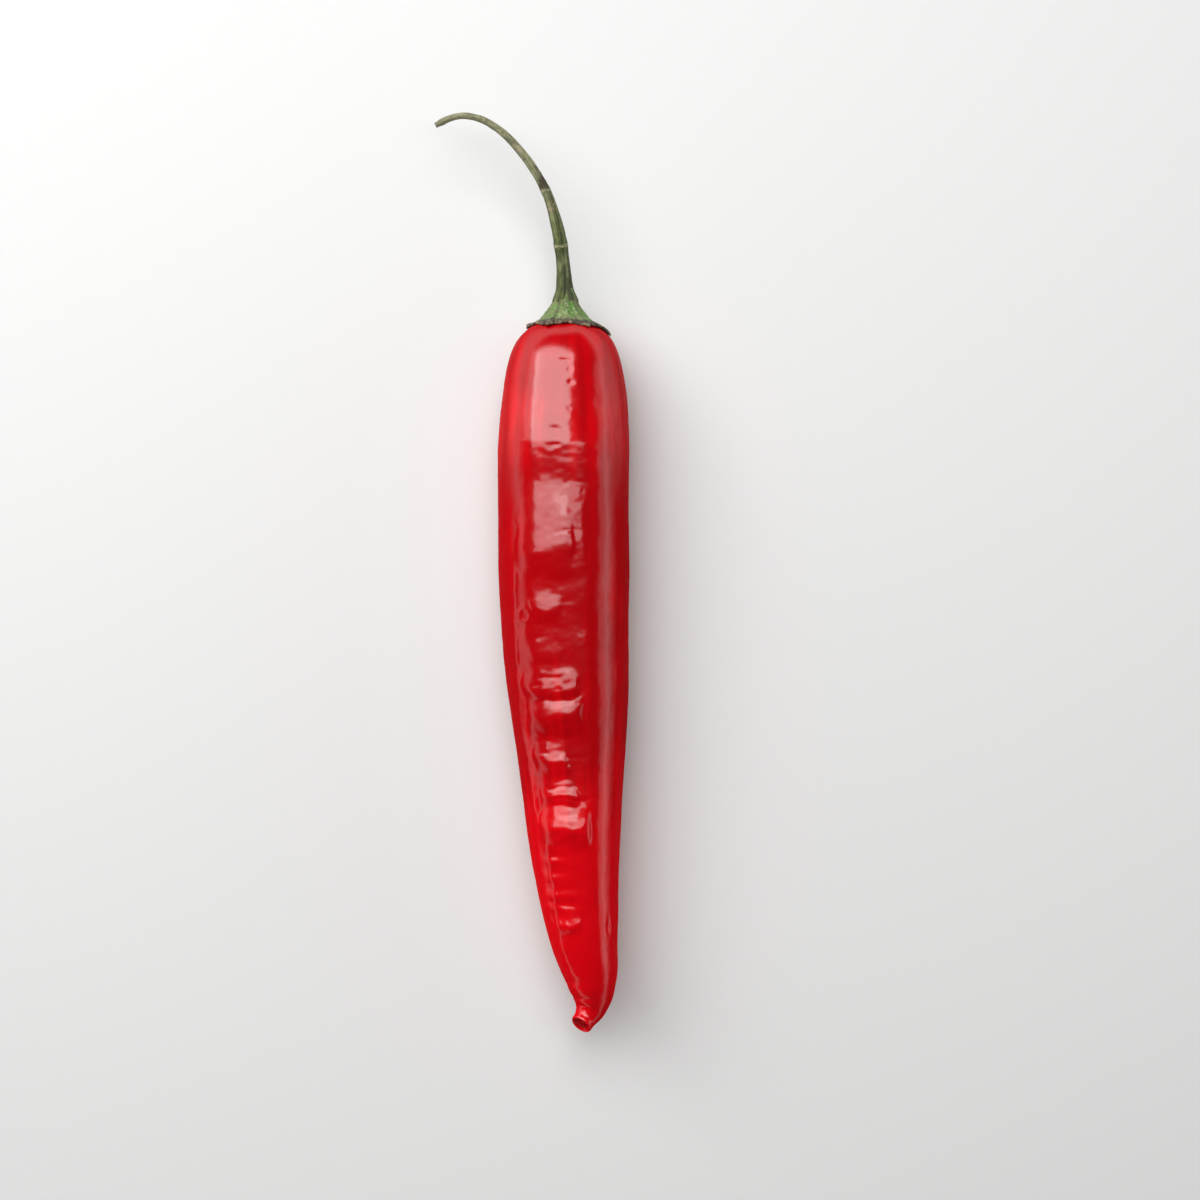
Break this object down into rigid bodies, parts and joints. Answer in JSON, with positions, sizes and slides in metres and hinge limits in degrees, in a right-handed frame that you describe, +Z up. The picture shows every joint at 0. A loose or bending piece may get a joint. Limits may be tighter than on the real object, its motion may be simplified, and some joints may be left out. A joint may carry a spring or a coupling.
{
  "type": "chilli pepper",
  "caption": "Long red chilli pepper lying on its side: tapering glossy fruit with a blunt tip, green calyx cap and curved stem.",
  "frame": {"origin": "on the resting surface, under the middle of the whole pepper's box", "axes": "+Y along the pepper from tip to stem end, +Z up, +X across it, to the right when seen from above with the stem end away from the viewer"},
  "size_m": [0.0354, 0.1662, 0.0219],
  "materials": {
    "fruit_skin": "waxy glossy red skin with faint wrinkles; stands in for plant skin",
    "calyx_green": "dull mottled green with a brown dry brim; stands in for fresh leaf tissue",
    "stem_green": "matt ribbed olive green, paler towards the cut end; stands in for a fibrous green stem"
  },
  "bodies": {
    "root": {"fruit": "fruit_skin", "calyx": "calyx_green", "stem": "stem_green"}
  },
  "joints": []
}
